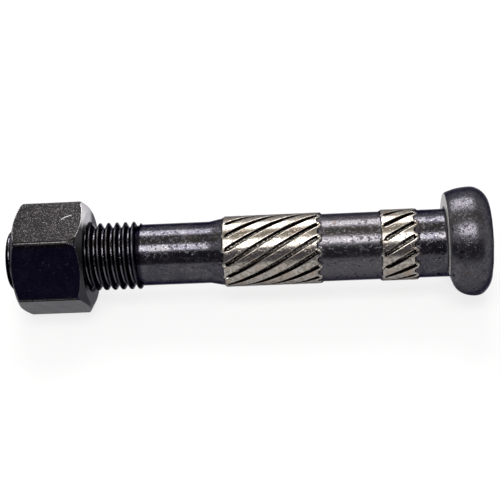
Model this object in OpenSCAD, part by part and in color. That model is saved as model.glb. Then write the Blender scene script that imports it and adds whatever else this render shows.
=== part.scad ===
// Connecting rod bolt with its nut, lying on its side.
// The bolt's axis is the X axis and the origin is the centre of the head's seating face.
// The head points to +X, the thread to -X, and +Z is up.

/* [Head] */
// Largest diameter of the round head
head_d = 19.2; // [16:0.1:24]
// Diameter of the seating face under the head
head_face_d = 17.6; // [15:0.1:18.8]
// Thickness of the head
head_h = 7.6; // [6:0.1:12]
// Radius of the rounded edge round the head's top
head_round_r = 3.3; // [1:0.1:3.5]
// Width of the small bevel between seating face and rim
head_bevel = 0.3; // [0.1:0.05:0.6]
// Radius of the fillet between shank and seating face
head_fillet_r = 0.5; // [0.2:0.05:0.8]
// Distance from the bolt's axis to the flat on one side of the head
head_flat = 8.6; // [8:0.1:9.2]
// Radius of the round that runs from the flat to the seating face
relief_r = 4.6; // [3:0.1:5]
// Step from the seating face down to the start of that round
relief_step = 0.25; // [0.1:0.05:0.8]
// Direction of the flat round the axis, where -90 is straight down and 0 is the front
relief_angle = -58; // [-90:1:90]

/* [Shank] */
// Diameter of the plain shank
shank_d = 11.8; // [11:0.1:13]
// Length of plain shank between the head and the short band of ribs
neck_len = 5.1; // [3:0.1:10]
// Length of plain shank between the two bands of ribs
mid_len = 10.4; // [4:0.1:20]

/* [Ribs] */
// Diameter over the rib crests, a press fit in the rod's bore
rib_d = 12.4; // [12:0.05:13.2]
// Number of ribs round a band
rib_count = 15; // [10:1:18]
// Width of the groove between two ribs
groove_w = 0.85; // [0.5:0.05:1.2]
// Depth of the groove below the rib crests
groove_depth = 0.65; // [0.4:0.05:0.8]
// Length in which a rib winds once round the bolt, as a left-hand helix
rib_lead = 65; // [40:1:120]
// Angle round the axis at which a groove would meet the seating face, 0 at the front
rib_angle = 14.5; // [0:0.1:24]
// Length of the short band of ribs, near the head
short_band_len = 6.1; // [4:0.1:12]
// Length of the long band of ribs
long_band_len = 16.8; // [8:0.1:24]
// Distance from a band's end to the ends of its grooves
groove_inset = 0.3; // [0.1:0.05:0.8]
// Length of the slope at which a groove runs out at its ends
groove_runout = 0.9; // [0.5:0.1:1.5]

/* [Waist] */
// Diameter of the thin waist that stretches when the nut is tightened
waist_d = 10.8; // [9.5:0.1:11]
// Length of the waist
waist_len = 11.9; // [6:0.1:30]
// Length of the cone from the waist up to the long band
taper_len = 2.5; // [1:0.1:5]

/* [Thread] */
// Diameter over the thread crests
thread_d = 11.9; // [11.5:0.1:12]
// Length of the threaded end
thread_len = 23.4; // [20:0.1:40]
// Width of the bevel at the tip
tip_bevel = 0.9; // [0.5:0.1:1.4]

/* [Nut] */
// Distance across the nut's flats
nut_flats = 17.8; // [17:0.1:19]
// Diameter to which the nut's six corners are turned down
nut_corner_d = 20.2; // [19.8:0.1:21]
// Height of the nut
nut_h = 12.3; // [9:0.1:14]
// Diameter of the flat round face with which the nut seats
nut_face_d = 16.6; // [15:0.1:17.8]
// Diameter of the flat round face at the nut's outer end
nut_end_face_d = 17.4; // [15:0.1:17.8]
// Slope of the turned chamfers that lead from those faces to the flats
nut_chamfer_angle = 30; // [15:1:45]
// Gap between the nut's bore and the thread, all round
thread_clearance = 0.05; // [0.02:0.01:0.1]
// Width of the bevel at each mouth of the nut's bore
bore_bevel = 0.4; // [0.2:0.1:1]
// Length of bolt that stands out past the nut
tip_out = 1.85; // [0:0.05:6]

/* [Hidden] */
$fn = 96;
overlap = 1;
crest_steps = 3;
degrees_per_slice = 7.5;

shank_r = shank_d / 2;
rib_r = rib_d / 2;
groove_r = rib_r - groove_depth;
waist_r = waist_d / 2;
thread_r = thread_d / 2;
head_r = head_d / 2;
head_face_r = head_face_d / 2;
bore_r = thread_r + thread_clearance;

// Height at which the head is widest, and the radius of the barrel-shaped rim below it
head_wide_x = head_h - head_round_r;
rim_rise = head_wide_x - head_bevel;
rim_r = (rim_rise ^ 2 + (head_r - head_face_r) ^ 2) / (2 * (head_r - head_face_r));

// Places along the axis, from the head's seating face to the tip
short_band_x = -neck_len;
mid_x = short_band_x - short_band_len;
long_band_x = mid_x - mid_len;
taper_x = long_band_x - long_band_len;
waist_x = taper_x - taper_len;
thread_x = waist_x - waist_len;
tip_x = thread_x - thread_len;
nut_x = tip_x + tip_out;

// A point from its radius and angle
function polar(r, a) = [r * cos(a), r * sin(a)];

// Outline across a band: a flat-bottomed groove and a round crest for each rib
function ribbed_outline() = let (
    pitch = 360 / rib_count,
    half_mouth = asin(groove_w / 2 / rib_r),
    half_floor = half_mouth / 2,
    crest = pitch - 2 * half_mouth
) [
    for (i = [0 : rib_count - 1]) each [
        polar(groove_r, i * pitch - half_floor),
        polar(groove_r, i * pitch + half_floor),
        for (k = [0 : crest_steps]) polar(rib_r, i * pitch + half_mouth + crest * k / crest_steps)
    ]
];

// Lays a shape that was drawn along Z along the bolt's axis
module along_axis() {
    rotate([0, 90, 0]) children();
}

// One band of helical ribs, from x_low up to x_high, in step with the other band
module rib_band(x_low, x_high) {
    turn = 360 * (x_high - x_low) / rib_lead;
    start = 270 - rib_angle - 360 * x_low / rib_lead;
    translate([x_low, 0, 0])
        along_axis()
            rotate([0, 0, start])
                linear_extrude(height = x_high - x_low, twist = turn, slices = ceil(turn / degrees_per_slice))
                    polygon(ribbed_outline());
}

// Threaded end, waist, cone, plain shank and the sloped ends of the grooves, turned in one profile
module turned_shank() {
    core_r = groove_r - groove_depth / 2;
    core_inset = groove_inset + groove_runout * (shank_r - core_r) / (shank_r - groove_r);
    along_axis()
        rotate_extrude()
            polygon([
                [0, tip_x],
                [thread_r - tip_bevel, tip_x],
                [thread_r, tip_x + tip_bevel],
                [thread_r, thread_x - (thread_r - waist_r)],
                [waist_r, thread_x],
                [waist_r, waist_x],
                [shank_r, taper_x - groove_inset],
                [shank_r, taper_x + groove_inset],
                [core_r, taper_x + core_inset],
                [core_r, long_band_x - core_inset],
                [shank_r, long_band_x - groove_inset],
                [shank_r, mid_x + groove_inset],
                [core_r, mid_x + core_inset],
                [core_r, short_band_x - core_inset],
                [shank_r, short_band_x - groove_inset],
                [shank_r, relief_step + overlap],
                [0, relief_step + overlap]
            ]);
}

// Fillet between the shank and the seating face
module seat_fillet() {
    along_axis()
        rotate_extrude()
            difference() {
                translate([shank_r - overlap, -head_fillet_r])
                    square([head_fillet_r + overlap, head_fillet_r + overlap]);
                translate([shank_r + head_fillet_r, -head_fillet_r])
                    circle(r = head_fillet_r);
                translate([shank_r + head_fillet_r, -overlap])
                    square([overlap, 3 * overlap]);
            }
}

// Round head with a barrel-shaped rim and a well rounded top edge
module head_blank() {
    along_axis()
        rotate_extrude()
            union() {
                polygon([
                    [0, 0],
                    [head_face_r - head_bevel, 0],
                    [head_face_r, head_bevel],
                    [head_r, head_wide_x],
                    [head_r - head_round_r, head_h],
                    [0, head_h]
                ]);
                intersection() {
                    translate([head_r - rim_r, head_wide_x])
                        circle(r = rim_r);
                    translate([head_r - head_round_r, head_bevel])
                        square([head_round_r, rim_rise]);
                }
                intersection() {
                    translate([head_r - head_round_r, head_wide_x])
                        circle(r = head_round_r);
                    translate([head_r - head_round_r, head_wide_x])
                        square(head_round_r);
                }
            }
}

// What is cut from one side of the head to seat it against the rod: a flat and the round that leads to it
module relief_cut() {
    reach = head_d;
    round_x = relief_step + relief_r;
    round_offset = head_flat - relief_r;
    rotate([-relief_angle, 0, 0])
        linear_extrude(height = 2 * reach, center = true)
            difference() {
                translate([-overlap, -reach - round_offset])
                    square([head_h + 2 * overlap, reach]);
                translate([round_x, -round_offset])
                    circle(r = relief_r);
                translate([round_x, -head_flat])
                    square([head_h + 2 * overlap, relief_r + overlap]);
            }
}

module bolt() {
    color([0.13, 0.13, 0.15])
        union() {
            turned_shank();
            rib_band(taper_x, long_band_x);
            rib_band(mid_x, short_band_x);
            difference() {
                union() {
                    head_blank();
                    seat_fillet();
                }
                relief_cut();
            }
        }
}

// Hexagonal nut with turned ends, its flats level above and below
module nut() {
    face_r = nut_face_d / 2;
    end_face_r = nut_end_face_d / 2;
    corner_r = nut_corner_d / 2;
    chamfer = (corner_r - face_r) * tan(nut_chamfer_angle);
    end_chamfer = (corner_r - end_face_r) * tan(nut_chamfer_angle);
    across_corners = nut_flats / cos(30);
    color([0.2, 0.2, 0.22])
        translate([nut_x, 0, 0])
            along_axis()
                difference() {
                    intersection() {
                        rotate([0, 0, 30])
                            cylinder(d = across_corners, h = nut_h, $fn = 6);
                        rotate_extrude()
                            polygon([
                                [0, 0],
                                [end_face_r, 0],
                                [corner_r, end_chamfer],
                                [corner_r, nut_h - chamfer],
                                [face_r, nut_h],
                                [0, nut_h]
                            ]);
                    }
                    rotate_extrude()
                        polygon([
                            [0, -overlap],
                            [bore_r + bore_bevel + overlap, -overlap],
                            [bore_r, bore_bevel],
                            [bore_r, nut_h - bore_bevel],
                            [bore_r + bore_bevel + overlap, nut_h + overlap],
                            [0, nut_h + overlap]
                        ]);
                }
}

bolt();
nut();
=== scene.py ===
"""A connecting rod bolt with its nut: meshes, finishes, floor, lights and camera.

The bolt lies along the X axis with its head towards +X and its thread towards -X. The origin is the centre
of the head's seating face, and +Z is up. Sizes are in metres and angles in degrees, and an angle round the
axis starts at the front. Only the finishes read places and radii in millimetres.
"""
import logging
import math
from abc import ABC, abstractmethod
from collections.abc import Callable, Iterator, Sequence
from contextlib import contextmanager
from dataclasses import dataclass
from enum import Enum
from functools import cached_property, reduce
from itertools import pairwise

import bpy
from mathutils import Euler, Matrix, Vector, noise


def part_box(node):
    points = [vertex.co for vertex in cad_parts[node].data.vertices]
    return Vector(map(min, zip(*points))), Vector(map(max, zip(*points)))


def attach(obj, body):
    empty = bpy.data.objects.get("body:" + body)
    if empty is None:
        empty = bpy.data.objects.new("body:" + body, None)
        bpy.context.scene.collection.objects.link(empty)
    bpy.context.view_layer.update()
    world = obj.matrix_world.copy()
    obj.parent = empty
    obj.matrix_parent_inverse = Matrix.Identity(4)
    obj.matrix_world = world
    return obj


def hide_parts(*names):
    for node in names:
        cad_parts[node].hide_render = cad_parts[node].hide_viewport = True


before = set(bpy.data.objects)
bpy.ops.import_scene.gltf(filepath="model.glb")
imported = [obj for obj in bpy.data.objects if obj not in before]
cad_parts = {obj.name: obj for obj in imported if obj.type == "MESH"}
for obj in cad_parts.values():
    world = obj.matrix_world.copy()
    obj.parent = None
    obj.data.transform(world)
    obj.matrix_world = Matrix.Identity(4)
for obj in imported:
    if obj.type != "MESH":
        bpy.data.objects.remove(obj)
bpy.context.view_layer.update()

BOLT_LOW, BOLT_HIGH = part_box("bolt")
NUT_LOW, NUT_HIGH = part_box("nut")

# Vertices that are nearer than this become one.
MERGE_GAP = 2e-6
# Keeps two surfaces from lying on each other.
HAIR = 5 * MERGE_GAP
# How far a cutting tool reaches past what it cuts.
SLACK = 0.001
# The turn from one side of a hexagon to the next.
HEX_TURN = 60.0
# The middle of a noise that goes from 0 to 1.
NOISE_MEAN = 0.5

Point = tuple[float, float]
Place = tuple[float, float, float]
Colour = tuple[float, float, float, float]
# The values at which a mask is 0 and at which it is 1.
Fade = tuple[float, float]
# The two ends of a stretch.
Run = tuple[float, float]

AXIS: Place = (1.0, 0.0, 0.0)
UP: Place = (0.0, 0.0, 1.0)
WHITE: Colour = (1.0, 1.0, 1.0, 1.0)

log = logging.getLogger("connecting_rod_bolt")


def smooth_step(low: float, high: float, value: float) -> float:
    """Eases from 0 at low to 1 at high."""
    share = min(1.0, max(0.0, (value - low) / (high - low)))
    return share * share * (3.0 - 2.0 * share)


def mm(metres: float) -> float:
    """Gives a size in millimetres."""
    return 1000 * metres


def around(turn: float) -> Place:
    """Gives the direction away from the axis at a turn up from the front."""
    return 0.0, -math.cos(math.radians(turn)), math.sin(math.radians(turn))


def rows(low: float, high: float, longest: float) -> list[float]:
    """Splits a stretch of the axis into even rows.

    Args:
        low: Where the stretch starts.
        high: Where it ends.
        longest: The greatest distance between two rows.

    Returns:
        The places of the rows, without the first end and with the last, or none if the stretch is empty.
    """
    count = math.ceil((high - low) / longest)
    return [low + (high - low) * (i + 1) / count for i in range(count)]


def arc(centre: Point, radius: float, start: float, end: float, segments: int) -> list[Point]:
    """Points on an arc of an outline.

    Args:
        centre: The arc's centre, as place along the axis and distance from it.
        radius: The arc's radius.
        start: The first point's angle, 0 along the axis and 90 away from it.
        end: The last point's angle.
        segments: How many straight pieces the arc has.

    Returns:
        The points, both ends included.
    """
    angles = [math.radians(start + (end - start) * i / segments) for i in range(segments + 1)]
    return [(centre[0] + radius * math.cos(a), centre[1] + radius * math.sin(a)) for a in angles]


class Cut(Enum):
    """What one solid does to another."""

    ADD = "UNION"
    REMOVE = "DIFFERENCE"
    KEEP_INSIDE = "INTERSECT"


class Workbench:
    """The modelling steps that all the pieces share."""

    @staticmethod
    def take(piece: bpy.types.Object) -> None:
        """Selects one piece alone and makes it the active one.

        Args:
            piece: The piece to work on.
        """
        bpy.ops.object.select_all(action="DESELECT")
        piece.select_set(True)
        bpy.context.view_layer.objects.active = piece

    @staticmethod
    @contextmanager
    def editing(piece: bpy.types.Object) -> Iterator[None]:
        """Opens a piece in edit mode with nothing selected, and closes it again.

        Args:
            piece: The piece to edit.

        Yields:
            Nothing, while the piece is open.
        """
        Workbench.take(piece)
        bpy.ops.object.mode_set(mode="EDIT")
        bpy.ops.mesh.select_all(action="DESELECT")
        yield
        bpy.ops.object.mode_set(mode="OBJECT")

    @staticmethod
    def modify(piece: bpy.types.Object, kind: str, **settings: object) -> None:
        """Adds a modifier with its settings and applies it.

        Args:
            piece: The piece that it changes.
            kind: The modifier's type.
            **settings: The modifier's own values.
        """
        modifier = piece.modifiers.new(name=kind.lower(), type=kind)
        for name, value in settings.items():
            setattr(modifier, name, value)
        Workbench.take(piece)
        bpy.ops.object.modifier_apply(modifier=modifier.name)

    @staticmethod
    def combine(piece: bpy.types.Object, tool: bpy.types.Object, cut: Cut) -> None:
        """Cuts a piece with a tool or joins the two, and clears the tool away.

        Args:
            piece: The piece that stays.
            tool: The solid that is used up.
            cut: What the tool does to the piece.
        """
        Workbench.modify(piece, "BOOLEAN", object=tool, operation=cut.value, solver="EXACT")
        Workbench.take(tool)
        bpy.ops.object.delete()

    @staticmethod
    def draw(name: str, points: Sequence[Point]) -> bpy.types.Object:
        """Draws an outline in the plane of the axis, ready to be turned or drawn out.

        Args:
            name: The new piece's name.
            points: The outline's points, as place along the axis and distance from it.

        Returns:
            The piece, which is one open chain of edges.
        """
        bpy.ops.object.select_all(action="DESELECT")
        bpy.ops.mesh.primitive_plane_add(size=MERGE_GAP, enter_editmode=True)
        piece = bpy.context.object
        piece.name = name
        bpy.ops.mesh.merge(type="CENTER")
        bpy.ops.transform.translate(value=(*points[0], 0.0))
        for here, there in pairwise(points):
            step = (there[0] - here[0], there[1] - here[1], 0.0)
            bpy.ops.mesh.extrude_vertices_move(TRANSFORM_OT_translate={"value": step})
        bpy.ops.object.mode_set(mode="OBJECT")
        return piece

    @staticmethod
    def plane(name: str, size: float, place: Vector, turn: Euler) -> bpy.types.Object:
        """Adds a square plane.

        Args:
            name: Its name.
            size: The length of its sides.
            place: Where its middle is.
            turn: Its turn.

        Returns:
            The plane.
        """
        bpy.ops.object.select_all(action="DESELECT")
        bpy.ops.mesh.primitive_plane_add(size=size, location=place, rotation=turn)
        plane = bpy.context.object
        plane.name = name
        return plane

    @staticmethod
    def close(piece: bpy.types.Object) -> None:
        """Merges a piece's doubled vertices and points its faces outwards.

        Args:
            piece: The piece to close.
        """
        with Workbench.editing(piece):
            bpy.ops.mesh.select_all(action="SELECT")
            bpy.ops.mesh.remove_doubles(threshold=MERGE_GAP)
            bpy.ops.mesh.dissolve_degenerate(threshold=MERGE_GAP)
            bpy.ops.mesh.normals_make_consistent(inside=False)

    @staticmethod
    def complete(piece: bpy.types.Object, crease: float) -> None:
        """Closes a piece and smooths its shading.

        Args:
            piece: The piece, with its last cut made.
            crease: The angle between two faces from which their edge stays sharp.
        """
        Workbench.close(piece)
        Workbench.take(piece)
        bpy.ops.object.shade_smooth_by_angle(angle=math.radians(crease))

    @staticmethod
    def lathe(name: str, points: Sequence[Point], columns: int) -> bpy.types.Object:
        """Turns an outline about the axis into a solid.

        Args:
            name: The new piece's name.
            points: The outline, which starts and ends on the axis.
            columns: How many faces go round.

        Returns:
            The turned solid.
        """
        piece = Workbench.draw(name, points)
        Workbench.modify(piece, "SCREW", axis="X", angle=math.tau, steps=columns, render_steps=columns)
        Workbench.close(piece)
        return piece

    @staticmethod
    def prism(name: str, points: Sequence[Point], length: float) -> bpy.types.Object:
        """Draws an outline out along Z into a solid.

        Args:
            name: The new piece's name.
            points: The corners of the outline in order.
            length: The solid's length, half of it above the outline's plane and half below.

        Returns:
            The solid.
        """
        piece = Workbench.draw(name, [*points, points[0]])
        with Workbench.editing(piece):
            bpy.ops.mesh.select_all(action="SELECT")
            bpy.ops.mesh.remove_doubles(threshold=MERGE_GAP)
            bpy.ops.mesh.edge_face_add()
            bpy.ops.transform.translate(value=(0.0, 0.0, -length / 2))
            bpy.ops.mesh.extrude_region_move(TRANSFORM_OT_translate={"value": (0.0, 0.0, length)})
        Workbench.close(piece)
        return piece

    @staticmethod
    def weigh(piece: bpy.types.Object, name: str, share: Callable[[Vector], float]) -> str:
        """Paints a weight on every vertex of a piece by a rule.

        Args:
            piece: The piece to paint.
            name: The vertex group's name.
            share: Gives a vertex's weight, from 0 to 1, for its place.

        Returns:
            The vertex group's name.
        """
        group = piece.vertex_groups.new(name=name)
        for vertex in piece.data.vertices:
            weight = share(vertex.co)
            if weight > 0.0:
                group.add([vertex.index], weight, "REPLACE")
        return group.name

    @staticmethod
    def raise_by(piece: bpy.types.Object, name: str, height: float, share: Callable[[Vector], float]) -> None:
        """Lifts a piece's surface by a height times a painted weight.

        Args:
            piece: The piece to shape.
            name: The name of the weight.
            height: How far a full weight lifts the surface, below zero to sink it.
            share: Gives a vertex's weight for its place.
        """
        group = Workbench.weigh(piece, name, share)
        Workbench.modify(piece, "DISPLACE", vertex_group=group, strength=height, mid_level=0.0)

    @staticmethod
    def place(piece: bpy.types.Object, turn: Vector, shift: Vector) -> None:
        """Turns and shifts a piece and fixes it there.

        Args:
            piece: The piece to move.
            turn: The turn about each axis.
            shift: How far it moves.
        """
        Workbench.take(piece)
        piece.rotation_euler = Euler([math.radians(a) for a in turn])
        piece.location = shift
        bpy.ops.object.transform_apply(location=True, rotation=True, scale=True)


@dataclass(frozen=True)
class Patches:
    """The patches of a soft noise.

    Attributes:
        size: The size of a patch in millimetres.
        detail: How many finer layers the noise has.
        roughness: How strong the finer layers are.
    """

    size: float
    detail: float
    roughness: float


class Wire:
    """One value in a shader, which takes Python's arithmetic."""

    def __init__(self, graph: "Graph", socket: bpy.types.NodeSocket) -> None:
        """Wraps the socket that gives the value."""
        self.graph = graph
        self.socket = socket

    def _math(self, operation: str, *values: "Wire | float") -> "Wire":
        """Adds a Math node for an operation on values."""
        return self.graph.node("ShaderNodeMath", {"operation": operation}, dict(enumerate(values)))

    def __add__(self, other: "Wire | float") -> "Wire":
        """Adds."""
        return self._math("ADD", self, other)

    def __radd__(self, other: float) -> "Wire":
        """Adds to a number."""
        return self._math("ADD", other, self)

    def __sub__(self, other: "Wire | float") -> "Wire":
        """Subtracts."""
        return self._math("SUBTRACT", self, other)

    def __rsub__(self, other: float) -> "Wire":
        """Subtracts from a number."""
        return self._math("SUBTRACT", other, self)

    def __mul__(self, other: "Wire | float") -> "Wire":
        """Multiplies."""
        return self._math("MULTIPLY", self, other)

    def __rmul__(self, other: float) -> "Wire":
        """Multiplies a number."""
        return self._math("MULTIPLY", other, self)

    def __pow__(self, other: "Wire | float") -> "Wire":
        """Raises to a power."""
        return self._math("POWER", self, other)

    def __abs__(self) -> "Wire":
        """Drops the sign."""
        return self._math("ABSOLUTE", self)

    def most(self, other: "Wire | float") -> "Wire":
        """Gives the greater of two values."""
        return self._math("MAXIMUM", self, other)

    def least(self, other: "Wire | float") -> "Wire":
        """Gives the smaller of two values."""
        return self._math("MINIMUM", self, other)

    def ease(self, low: float, high: float) -> "Wire":
        """Goes smoothly from 0 to 1.

        Args:
            low: The value at which it is 0.
            high: The value at which it is 1, which may be the smaller of the two.

        Returns:
            The eased value.
        """
        falls = low > high
        first, last = (high, low) if falls else (low, high)
        inputs = {"Value": self, "From Min": first, "From Max": last}
        eased = self.graph.node("ShaderNodeMapRange", {"interpolation_type": "SMOOTHSTEP"}, inputs)
        return 1.0 - eased if falls else eased

    def ease_at(self, level: float, fade: Fade) -> "Wire":
        """Goes smoothly from 0 to 1 over a fade that is counted from a level."""
        return self.ease(level + fade[0], level + fade[1])

    def band(self, low: float, high: float, soft: float) -> "Wire":
        """Gives 1 between low and high and 0 outside, with soft ends."""
        return self.ease(low - soft, low) * self.ease(high + soft, high)


@dataclass(frozen=True)
class Layer:
    """A colour that shows where a noise is high, or low, enough.

    Attributes:
        colour: The colour.
        start: The noise's value at which it starts to show.
        full: The noise's value at which it shows in full.
        share: How much of what lies under it is hidden there.
    """

    colour: Colour
    start: float
    full: float
    share: float = 1.0

    def cover(self, value: Wire) -> Wire:
        """How much of the layer shows at a value of the noise."""
        return value.ease(self.start, self.full) * self.share


class Graph:
    """The node tree of a material or a world, built by expressions."""

    def __init__(self, tree: bpy.types.NodeTree) -> None:
        """Clears a node tree to build it anew."""
        self.tree = tree
        tree.nodes.clear()

    def node(
        self,
        kind: str,
        settings: dict[str, object] | None = None,
        inputs: dict[str | int, object] | None = None,
        output: str | int = 0,
    ) -> Wire:
        """Adds any node that gives a value.

        Args:
            kind: The node's type.
            settings: The node's own choices, which are set first.
            inputs: A value or a wire for each socket, by its name or number.
            output: The socket whose value is returned.

        Returns:
            The node's output.
        """
        made = self.tree.nodes.new(kind)
        for name, value in (settings or {}).items():
            setattr(made, name, value)
        for name, value in (inputs or {}).items():
            if isinstance(value, Wire):
                self.tree.links.new(value.socket, made.inputs[name])
            else:
                made.inputs[name].default_value = value
        return Wire(self, made.outputs[output])

    def end(self, shader: Wire, kind: str = "ShaderNodeOutputMaterial") -> None:
        """Ends the tree in its output node.

        Args:
            shader: What the tree shows.
            kind: The output node's type.
        """
        made = self.tree.nodes.new(kind)
        self.tree.links.new(shader.socket, made.inputs["Surface"])

    def vector(self, operation: str, *values: Wire | Place, **more: float) -> Wire:
        """Works a vector out from others."""
        return self.node("ShaderNodeVectorMath", {"operation": operation}, dict(enumerate(values)) | more)

    def measure(self, operation: str, *values: Wire | Place) -> Wire:
        """Works a number out from vectors."""
        return self.node("ShaderNodeVectorMath", {"operation": operation}, dict(enumerate(values)), "Value")

    def blend(self, share: Wire | float, first: Wire | Colour, second: Wire | Colour) -> Wire:
        """Mixes two colours."""
        return self.node("ShaderNodeMix", {"data_type": "RGBA"}, {0: share, 6: first, 7: second}, 2)

    def lay(self, under: Wire | Colour, layer: Layer, value: Wire, within: Wire | float = 1.0) -> Wire:
        """Lays a layer over a colour.

        Args:
            under: The colour that it lies on.
            layer: The layer.
            value: The noise that it follows.
            within: How much of it is left at each place, from 0 to 1.

        Returns:
            The new colour.
        """
        return self.blend(layer.cover(value) * within, under, layer.colour)

    def bump(self, height: Wire, metres: float, over: Wire | None = None) -> Wire:
        """Turns a height from 0 to 1 into a normal.

        Args:
            height: The height.
            metres: How high 1 is.
            over: The normal that it is added to.

        Returns:
            The normal.
        """
        base = {} if over is None else {"Normal": over}
        return self.node("ShaderNodeBump", inputs={"Height": height, "Distance": metres} | base)

    def metal(self, colour: Wire, rough: Wire, normal: Wire, rim: Colour) -> None:
        """Ends the material in a metal.

        Args:
            colour: Its colour.
            rough: Its roughness.
            normal: Its normal.
            rim: The tint of what it reflects at a glancing angle.
        """
        inputs = {
            "Base Color": colour,
            "Metallic": 1.0,
            "Roughness": rough,
            "Specular Tint": rim,
            "Normal": normal,
        }
        self.end(self.node("ShaderNodeBsdfPrincipled", inputs=inputs))

    def glow(self, colour: Colour) -> Wire:
        """A shader that shows a colour as it is written."""
        return self.node("ShaderNodeEmission", inputs={"Color": colour, "Strength": 1.0})

    def seen(self) -> Wire:
        """Tells the rays that look at something from those that only light it.

        Returns:
            1 where a ray comes from the camera, a reflection or through glass, and 0 elsewhere.
        """
        kinds = ("Is Camera Ray", "Is Glossy Ray", "Is Transmission Ray")
        camera, glossy, glass = (self.node("ShaderNodeLightPath", output=kind) for kind in kinds)
        return camera.most(glossy).most(glass)


class Surface:
    """The place on a turned piece that a finish reads, in millimetres."""

    def __init__(self, graph: Graph) -> None:
        """Reads the place, and how far it is along the axis and away from it.

        Args:
            graph: The node tree of the finish.
        """
        self.graph = graph
        self.place = graph.vector("SCALE", graph.node("ShaderNodeTexCoord", output="Object"), Scale=mm(1.0))
        self.along = self.towards(AXIS)
        self.across = graph.vector("MULTIPLY", self.place, (0.0, 1.0, 1.0))
        self.radius = graph.measure("LENGTH", self.across)
        self.noises: dict[Patches, Wire] = {}

    def towards(self, direction: Place) -> Wire:
        """How far the place is in a direction."""
        return self.graph.measure("DOT_PRODUCT", self.place, direction)

    def noise(self, patches: Patches) -> Wire:
        """Soft noise from 0 to 1, which is made once for the same patches.

        Args:
            patches: The noise's patches.

        Returns:
            The noise at the place.
        """
        if patches not in self.noises:
            inputs = {
                "Vector": self.place,
                "Scale": 1.0 / patches.size,
                "Detail": patches.detail,
                "Roughness": patches.roughness,
            }
            self.noises[patches] = self.graph.node("ShaderNodeTexNoise", inputs=inputs)
        return self.noises[patches]

    def spot(self, centre: Place, size: float) -> Wire:
        """Gives 1 in a soft round spot of a size and 0 outside it."""
        return self.graph.measure("DISTANCE", self.place, centre).ease(size, size / 2)


class BoltSurface(Surface):
    """The bolt's surface, with a mask for each part that its finish tells apart.

    A mask is 1 on the part that it is named for and 0 elsewhere.
    """

    def __init__(self, graph: Graph, steel: "BoltSteel") -> None:
        """Reads the place on the bolt, for its finish."""
        super().__init__(graph)
        self.steel = steel

    def between(self, low: float, high: float, margin: float, soft: float) -> Wire:
        """Gives 1 between two places on the axis, less a margin, and 0 outside, with soft ends."""
        return self.along.band(mm(low) + margin, mm(high) - margin, soft)

    @cached_property
    def on_head(self) -> Wire:
        """The head."""
        return self.along.ease(*self.steel.head_fade)

    @cached_property
    def on_thread(self) -> Wire:
        """The threaded end."""
        return self.along.ease_at(mm(Bolt.thread_x), self.steel.thread_fade)

    @cached_property
    def on_crests(self) -> Wire:
        """Everything as far out as the thread's crests."""
        return self.radius.ease_at(mm(Thread.crest_r), self.steel.crest_fade)

    @cached_property
    def on_plain(self) -> Wire:
        """The plain shank between the two bands of ribs."""
        first, second = Bolt.bands
        return self.between(first.high, second.low, self.steel.band_margin, self.steel.plain_soft)

    @cached_property
    def on_seat(self) -> Wire:
        """The head's seating face.

        Returns:
            1 there and 0 elsewhere.
        """
        fillet = mm(Bolt.shank_r + Bolt.fillet_r)
        outside = self.radius.ease_at(fillet, self.steel.seat_fade)
        return self.along.band(*self.steel.seat_run, self.steel.seat_soft) * outside

    @cached_property
    def on_contour(self) -> Wire:
        """The light line along the edge of the head's relief: partly wear, partly a painted highlight of the
        rounded edge.

        Returns:
            1 there and 0 elsewhere.
        """
        steel = self.steel
        bar_r = mm(Bolt.relief_r)
        off = self.towards(around(-Bolt.relief_turn)) - mm(Bolt.relief_offset)
        below = (self.along - mm(Bolt.relief_step + Bolt.relief_r)).least(0.0)
        to_bar = (below ** 2.0 + off ** 2.0) ** 0.5 - bar_r
        edge = to_bar.band(*steel.contour_run, steel.contour_soft)
        return edge * off.ease(*steel.contour_sides) * self.along.ease(*steel.contour_start)

    @cached_property
    def rib_top(self) -> float:
        """The radius of the ribs' tops."""
        return mm(Bolt.shank_r + Bolt.rib_height)

    @cached_property
    def in_grooves(self) -> Wire:
        """The grooves between the ribs of either band, short of its two ends.

        Returns:
            1 there and 0 elsewhere.
        """
        margin, soft = self.steel.groove_margin, self.steel.band_soft
        first, second = (self.between(band.low, band.high, margin, soft) for band in Bolt.bands)
        return self.radius.ease_at(self.rib_top, self.steel.groove_fade) * first.most(second)

    @cached_property
    def on_groove_floor(self) -> Wire:
        """Everything as far in as the floor of the grooves."""
        return self.radius.ease_at(self.rib_top - mm(Bolt.groove_depth), self.steel.floor_fade)

    @cached_property
    def on_ribs(self) -> Wire:
        """The bare tops of the ribs, worn through the oxide, with a ragged edge.

        Returns:
            1 there and 0 elsewhere.
        """
        steel = self.steel
        first, second = Bolt.bands
        ragged = self.radius + (self.noise(steel.specks) - NOISE_MEAN) * steel.bare_raggedness
        in_bands = self.between(first.low, second.high, -steel.band_margin, steel.band_soft)
        return ragged.ease_at(self.rib_top, steel.bare_fade) * in_bands


class Finish(ABC):
    """A surface finish that can dress a piece."""

    name: str

    @abstractmethod
    def build(self, graph: Graph) -> None:
        """Lays the finish's nodes."""

    def dress(self, piece: bpy.types.Object) -> None:
        """Adds this finish to a piece, whose faces all have its first one.

        Args:
            piece: The piece to dress.
        """
        material = bpy.data.materials.new(self.name)
        material.use_nodes = True
        self.build(Graph(material.node_tree))
        piece.data.materials.append(material)

    def dress_faces(self, piece: bpy.types.Object, chosen: Callable[[bpy.types.MeshPolygon], bool]) -> None:
        """Gives some faces of a dressed piece this finish too.

        Args:
            piece: The piece, which has a finish.
            chosen: Tells whether a face gets this one.
        """
        self.dress(piece)
        for face in piece.data.polygons:
            if chosen(face):
                face.material_index = len(piece.data.materials) - 1


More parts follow.
